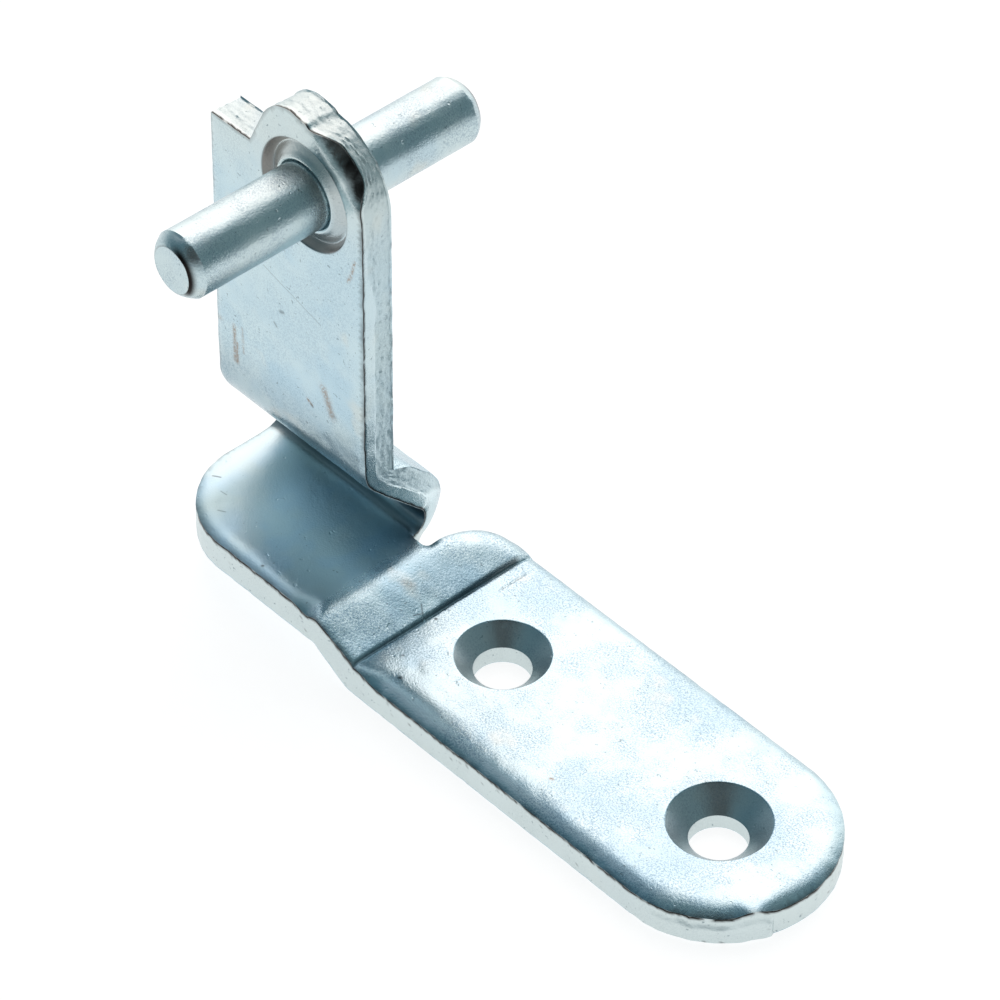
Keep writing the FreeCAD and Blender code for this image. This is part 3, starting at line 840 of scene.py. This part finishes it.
def pin_profile():
    """Distance from the pin's middle and radius, from the middle of one end to the rim of its shaft."""
    half = (PIN_HIGH.y - PIN_LOW.y) / 2
    face = [(half - PIN_DISH, 0.02)]
    face += [(half - PIN_DISH * (1 - (r / PIN_FACE_RADIUS) ** 2), r) for r in PIN_FACE_RINGS]
    start = np.array([half, PIN_FACE_RADIUS])
    end = np.array([half - PIN_LEAD, PIN_RADIUS])
    nose = arc_points(start, end, PIN_NOSE, 1, 0.22)
    before = (half - 0.01, PIN_FACE_RADIUS - 0.09)
    after = tuple(start + 0.3 * (nose[0] - start) / np.linalg.norm(nose[0] - start))
    return face + [before, tuple(start), after] + [tuple(point) for point in nose[1:]]


def pin_dark(radius, angles):
    """A dark line round the rim of the pin's end, and a painted dark reflection in a crescent beside
    it.
    """
    rim = 0.35 * (abs(radius - PIN_FACE_RADIUS - 0.08) < 0.12)
    fade = 1 - smooth_step(PIN_FACE_RADIUS + 0.25, PIN_FACE_RADIUS + 0.9, radius)
    side = smooth_step(0.1, 0.7, np.cos(angles - math.radians(18)))
    return np.maximum(rim, side * fade * (radius > PIN_FACE_RADIUS - 0.05))


def tube_faces(rows, sides):
    """Faces of a closed tube, whose points run round each row in turn."""
    faces = []
    for row in range(rows - 1):
        for side in range(sides):
            after = (side + 1) % sides
            near, far = row * sides, (row + 1) * sides
            faces.append((near + side, near + after, far + after, far + side))
    last = (rows - 1) * sides
    return faces + [tuple(range(sides - 1, -1, -1)), tuple(range(last, last + sides))]


def build_pin():
    """Points, faces and masks of the pin, turned about Y."""
    end = pin_profile()
    shaft_end = end[-1][0]
    shaft = [(y, PIN_RADIUS) for y in np.arange(shaft_end - 0.5, -shaft_end + 0.25, -0.5)]
    stations = end + shaft + [(-y, radius) for y, radius in end[::-1]]
    angles = TAU * np.arange(PIN_SIDES) / PIN_SIDES
    points = []
    for y, radius in stations:
        place = np.column_stack([
            radius * np.cos(angles), np.full(PIN_SIDES, y), radius * np.sin(angles)])
        unit = place * np.array([1, 0.45, 1])
        swell = 0.012 * ripple(unit, 3.0, 41) + 0.006 * ripple(unit, 1.0, 42) - 0.02
        if radius < PIN_RADIUS - 0.02:
            swell = swell + 0.035 * ripple(unit, 2.4, 43) - 0.05
        scale = 1 + np.where(radius > 0.1, swell / max(radius, 0.5), 0.0)
        points.append(place * np.column_stack([scale, np.ones(PIN_SIDES), scale]))
    points = np.vstack(points) + np.array([PIN_X, PIN_MIDDLE, PIN_Z])
    dark = np.concatenate([pin_dark(radius, angles) for _, radius in stations])
    masks = {"dark": dark, "cream": np.full(len(points), 0.6)}
    return points, tube_faces(len(stations), PIN_SIDES), masks


# ---- materials ----

class Nodes:
    """Short ways to add shader nodes."""

    def __init__(self, tree):
        self.tree = tree
        tree.nodes.clear()

    def add(self, kind, inputs=None, **settings):
        """Add a node, set its properties, and fill or link its inputs."""
        node = self.tree.nodes.new(kind)
        for key, value in settings.items():
            setattr(node, key, value)
        for key, value in (inputs or {}).items():
            socket = node.inputs[key]
            if isinstance(value, bpy.types.NodeSocket):
                self.tree.links.new(value, socket)
            else:
                socket.default_value = value
        return node

    def math(self, operation, first, second=0.0, third=0.0):
        """A Math node's result."""
        return self.add("ShaderNodeMath", {0: first, 1: second, 2: third},
                        operation=operation).outputs[0]

    def band(self, value, low, high, to_low=0.0, to_high=1.0):
        """A smooth rise of value from low to high."""
        node = self.add("ShaderNodeMapRange", {
            "Value": value, "From Min": low, "From Max": high, "To Min": to_low, "To Max": to_high,
        }, interpolation_type="SMOOTHSTEP")
        return node.outputs[0]

    def mix(self, share, first, second):
        """A mix of two colours."""
        node = self.add("ShaderNodeMix", {"Factor": share, "A": first, "B": second},
                        data_type="RGBA")
        return node.outputs["Result"]

    def noise(self, place, scale, detail, roughness):
        """A noise value between 0 and 1."""
        return self.add("ShaderNodeTexNoise", {
            "Vector": place, "Scale": scale, "Detail": detail, "Roughness": roughness,
        }).outputs["Fac"]

    def attribute(self, name):
        """A mask kept on the mesh's points."""
        return self.add("ShaderNodeAttribute", attribute_name=name).outputs["Fac"]

    def paint(self, base, mask, strength, tint):
        """A colour covered with a tint where one of the mesh's masks is, at some strength."""
        return self.mix(self.math("MULTIPLY", self.attribute(mask), strength), base, tint)


def colour(red, green, blue):
    """An opaque colour."""
    return (red, green, blue, 1.0)


ZINC = colour(0.50, 0.65, 0.71)
LIGHT_ZINC = colour(0.55, 0.69, 0.73)
BLUE_WASH = colour(0.40, 0.58, 0.69)
BLUE_GRAIN = colour(0.27, 0.40, 0.49)
WARM_ZINC = colour(0.66, 0.66, 0.58)
CREAM_ZINC = colour(0.64, 0.66, 0.6)
SUNK_ZINC = colour(0.47, 0.53, 0.54)
PAD_BLUE = colour(0.33, 0.52, 0.65)
PAD_TEAL = colour(0.38, 0.54, 0.60)
# painted shade for the pad's left interior
PAD_SHADE = colour(0.25, 0.35, 0.36)
BROWN = colour(0.3, 0.2, 0.13)
SHEARED = colour(0.67, 0.74, 0.73)
SPECK = colour(0.2, 0.27, 0.3)
POLISHED = colour(0.84, 0.97, 1.0)
STAKED = colour(0.27, 0.22, 0.19)
# near black for the dark mask: real marks, and painted shade and painted dark reflections
DIRT_AND_SHADE = colour(0.016, 0.014, 0.013)
ROUGHER = {"torn": 0.2, "side": 0.12, "stake": 0.15, "sunk": 0.13, "satin": 0.11}
BUMP_DISTANCE = 0.000038

# Noises: scale per metre, detail and roughness.
CLOUDS = (110.0, 3.0, 0.6)
PATCHES = (130.0, 3.0, 0.6)
WASHES = (75.0, 3.0, 0.6)
WARMTH = (160.0, 2.0, 0.5)
SPECKS = (1700.0, 2.0, 0.6)
SMEARS = (3000.0, 2.0, 0.6)
GRAIN = (4600.0, 3.0, 0.7)
TOOTH = (3200.0, 3.0, 0.65)
PITS = (1100.0, 1.0, 0.4)
STREAKS = (1500.0, 4.0, 0.7)
BOARD = (400.0, 3.0, 0.5)


def zinc_colour(nodes, place, cloudy, blue, brown):
    """Pale blue zinc and its washes, then what stains, wears or dirties it, and painted shade."""
    wash = nodes.band(nodes.noise(place, *WASHES), 0.5, 0.66, 0.0, 0.6)
    warm = nodes.noise(place, *WARMTH)
    pad_tint = nodes.mix(nodes.band(warm, 0.42, 0.58), PAD_BLUE, PAD_TEAL)
    speck = nodes.noise(place, *SPECKS)
    speck = nodes.math("MULTIPLY_ADD", nodes.attribute("satin"), -0.04, speck)
    base = nodes.mix(nodes.band(cloudy, 0.35, 0.65), ZINC, LIGHT_ZINC)
    base = nodes.mix(wash, base, BLUE_WASH)
    base = nodes.mix(blue, base, BLUE_GRAIN)
    base = nodes.mix(nodes.band(warm, 0.62, 0.8, 0.0, 0.4), base, WARM_ZINC)
    base = nodes.paint(base, "cream", 0.4, CREAM_ZINC)
    base = nodes.paint(base, "sunk", 0.6, SUNK_ZINC)
    base = nodes.paint(base, "tinted", 0.6, pad_tint)
    # painted shade on the pad's left interior
    base = nodes.paint(base, "pad_shade", 0.6, PAD_SHADE)
    base = nodes.mix(brown, base, BROWN)
    base = nodes.paint(base, "side", 0.8, SHEARED)
    base = nodes.mix(nodes.band(speck, 0.66, 0.74, 0.0, 0.7), base, SPECK)
    base = nodes.paint(base, "polish", 0.8, POLISHED)
    base = nodes.paint(base, "stake", 0.8, STAKED)
    return nodes.mix(nodes.attribute("dark"), base, DIRT_AND_SHADE)


def zinc_roughness(nodes, cloudy, blue, brown, low):
    """A low roughness, and more where the plate is mottled, scuffed or masked as rougher."""
    roughness = nodes.band(cloudy, 0.3, 0.7, low, low + 0.07)
    roughness = nodes.math("MULTIPLY_ADD", blue, 0.06, roughness)
    roughness = nodes.math("MULTIPLY_ADD", brown, 0.25, roughness)
    for mask, more in ROUGHER.items():
        roughness = nodes.math("MULTIPLY_ADD", nodes.attribute(mask), more, roughness)
    return roughness


def zinc_bump(nodes, place, calm, strength):
    """Fine grain, pits, and streaks in the torn bands."""
    quiet = nodes.math("MULTIPLY_ADD", calm, -0.25, 1.0)
    height = nodes.math("MULTIPLY", nodes.noise(place, *TOOTH), quiet)
    pits = nodes.band(nodes.noise(place, *PITS), 0.72, 0.8)
    height = nodes.math("MULTIPLY_ADD", pits, -0.9, height)
    streaks = nodes.math("MULTIPLY", nodes.attribute("torn"), nodes.noise(place, *STREAKS))
    height = nodes.math("MULTIPLY_ADD", streaks, 3.0, height)
    bump = nodes.add("ShaderNodeBump", {
        "Height": height, "Strength": strength, "Distance": BUMP_DISTANCE})
    return bump.outputs[0]


def zinc_material(name, low_roughness, bumps):
    """Bright zinc plate with a pale blue passivation, mottled, pitted and scuffed."""
    material = bpy.data.materials.new(name)
    material.use_nodes = True
    nodes = Nodes(material.node_tree)
    place = nodes.add("ShaderNodeTexCoord").outputs["Object"]
    calm = nodes.attribute("calm")
    cloudy = nodes.noise(place, *CLOUDS)
    patch = nodes.band(nodes.noise(place, *PATCHES), 0.36, 0.6)
    patch = nodes.math("MULTIPLY", patch, nodes.math("MULTIPLY_ADD", calm, -0.85, 1.0))
    grain = nodes.band(nodes.noise(place, *GRAIN), 0.44, 0.6, 0.0, 0.95)
    blue = nodes.math("MULTIPLY", grain, patch)
    smear = nodes.band(nodes.noise(place, *SMEARS), 0.3, 0.55)
    brown = nodes.math("MULTIPLY", nodes.attribute("brown"), smear)
    shader = nodes.add("ShaderNodeBsdfPrincipled", {
        "Base Color": zinc_colour(nodes, place, cloudy, blue, brown),
        "Metallic": 1.0,
        "Roughness": zinc_roughness(nodes, cloudy, blue, brown, low_roughness),
        "Normal": zinc_bump(nodes, place, calm, bumps)})
    nodes.add("ShaderNodeOutputMaterial", {"Surface": shader.outputs[0]})
    return material


def floor_material():
    """Matt pale board with a faint tooth."""
    material = bpy.data.materials.new("floor_board")
    material.use_nodes = True
    nodes = Nodes(material.node_tree)
    place = nodes.add("ShaderNodeTexCoord").outputs["Object"]
    tooth = nodes.noise(place, *BOARD)
    base = nodes.mix(nodes.band(tooth, 0.3, 0.7), colour(0.27, 0.27, 0.27), colour(0.29, 0.29, 0.29))
    shader = nodes.add("ShaderNodeBsdfPrincipled", {
        "Base Color": base, "Roughness": 0.9, "Emission Color": colour(1.0, 1.0, 1.0),
        "Emission Strength": 0.88})
    nodes.add("ShaderNodeOutputMaterial", {"Surface": shader.outputs[0]})
    return material


# ---- stage ----

CAMERA_TARGET = (-32.1, 11.3, 14.9)
CAMERA_AZIMUTH = 47.2
CAMERA_ELEVATION = 42.88
CAMERA_ROLL = 0.5
CAMERA_DISTANCE = 719.6
CAMERA_LENS = 209.04
FLOOR_GAP = 0.00005  # metres, so that the strap and the floor don't share a plane
WALL_FROM = 85  # degrees from +X at which the bright wall starts and ends
WALL_TO = 166
FLAT_MIRROR = (-0.538, 0.497, 0.68)  # where a level face sends the camera's view
FRONT_LEFT = (-0.538, -0.497, 0.68)
HIGH_LEFT = (-0.62, -0.05, 0.78)
LOW_FRONT = (0.66, -0.66, -0.36)
TENT_SIDE = colour(0.17, 0.25, 0.27)
TENT_LEFT = colour(0.40, 0.50, 0.54)
TENT_FRONT_LEFT = colour(0.10, 0.19, 0.23)
TENT_HIGH_LEFT = colour(0.38, 0.43, 0.47)
TENT_LOW_FRONT = colour(0.55, 0.62, 0.65)
TENT_OPENING = colour(0.05, 0.047, 0.045)
WALL_WHITE = colour(1.5, 1.45, 1.4)
WALL_HOT = colour(2.05, 1.8, 1.72)
WALL_SKIRT = colour(0.8, 0.95, 1.04)


def camera_direction():
    """From the object towards the camera."""
    azimuth, elevation = math.radians(CAMERA_AZIMUTH), math.radians(CAMERA_ELEVATION)
    return Vector((math.sin(azimuth) * math.cos(elevation),
                   -math.cos(azimuth) * math.cos(elevation), math.sin(elevation)))


def make_camera():
    """A long lens from above the near right."""
    roll = math.radians(CAMERA_ROLL)
    back = camera_direction()
    data = bpy.data.cameras.new("camera")
    data.lens = CAMERA_LENS
    data.sensor_width = 36
    data.clip_start = 0.05
    data.clip_end = 50
    camera = bpy.data.objects.new("camera", data)
    bpy.context.scene.collection.objects.link(camera)
    camera.rotation_mode = "QUATERNION"
    turn = (-back).to_track_quat("-Z", "Y")
    camera.rotation_quaternion = turn @ Matrix.Rotation(roll, 3, "Z").to_quaternion()
    camera.location = (Vector(CAMERA_TARGET) + back * CAMERA_DISTANCE) * MM
    bpy.context.scene.camera = camera


def make_floor():
    """A pale light table under the strap, in metres."""
    half = 3.0
    mesh = bpy.data.meshes.new("floor")
    corners = [(-half, -half, 0), (half, -half, 0), (half, half, 0), (-half, half, 0)]
    mesh.from_pydata(corners, [], [(0, 1, 2, 3)])
    mesh.materials.append(floor_material())
    floor = bpy.data.objects.new("floor", mesh)
    floor.location.z = CAD_BOX[0].z - FLOOR_GAP
    bpy.context.scene.collection.objects.link(floor)


def level_direction(azimuth):
    """A horizontal direction, given in degrees from +X."""
    angle = math.radians(azimuth)
    return (math.cos(angle), math.sin(angle), 0.0)


def make_world():
    """A light tent: one bright wall opposite the camera, dimmer sides, and a dark camera opening."""
    world = bpy.data.worlds.new("tent")
    bpy.context.scene.world = world
    world.use_nodes = True
    nodes = Nodes(world.node_tree)
    direction = nodes.add("ShaderNodeTexCoord").outputs["Generated"]

    def toward(target):
        return nodes.add("ShaderNodeVectorMath", {0: direction, 1: target},
                         operation="DOT_PRODUCT").outputs["Value"]

    near_side = nodes.band(toward(level_direction(WALL_FROM + 90)), -0.27, 0.2)
    far_side = nodes.band(toward(level_direction(WALL_TO - 90)), -0.2, 0.15)
    wall = nodes.math("MULTIPLY", near_side, far_side)
    left = nodes.band(toward(level_direction(190)), 0.55, 0.95)
    sides = nodes.mix(left, TENT_SIDE, TENT_LEFT)
    sides = nodes.mix(nodes.band(toward(FRONT_LEFT), 0.76, 0.95), sides, TENT_FRONT_LEFT)
    sides = nodes.mix(nodes.band(toward(HIGH_LEFT), 0.88, 0.99), sides, TENT_HIGH_LEFT)
    sides = nodes.mix(nodes.band(toward(LOW_FRONT), 0.5, 0.78), sides, TENT_LOW_FRONT)
    sides = nodes.mix(nodes.band(toward(camera_direction()), 0.83, 0.96), sides, TENT_OPENING)
    bright = nodes.mix(nodes.band(toward(FLAT_MIRROR), 0.7, 0.97), WALL_WHITE, WALL_HOT)
    skirt = nodes.mix(nodes.band(wall, 0.0, 0.65), sides, WALL_SKIRT)
    tint = nodes.mix(nodes.band(wall, 0.35, 1.0), skirt, bright)
    background = nodes.add("ShaderNodeBackground", {"Color": tint, "Strength": 1.0})
    nodes.add("ShaderNodeOutputWorld", {"Surface": background.outputs[0]})


def finish_piece(piece, node, material):
    """Dress a piece, hang it under the root body, and hide the CAD part that it stands for."""
    piece.data.materials.append(material)
    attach(piece, "root")
    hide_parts(node)


make_camera()
plate_points, plate_faces, plate_masks = build_plate()
plate_zinc = zinc_material("zinc_plate", low_roughness=0.18, bumps=0.8)
bracket = mesh_object("plated_bracket", plate_points, plate_faces, plate_masks, sharp_degrees=32)
finish_piece(bracket, "strap_bracket", plate_zinc)

pin_points, pin_faces, pin_masks = build_pin()
pin_zinc = zinc_material("zinc_pin", low_roughness=0.25, bumps=1.2)
pin = mesh_object("plated_pin", pin_points, pin_faces, pin_masks, sharp_degrees=28)
finish_piece(pin, "hinge_pin", pin_zinc)

make_floor()
make_world()
bpy.context.scene.view_settings.view_transform = "Standard"
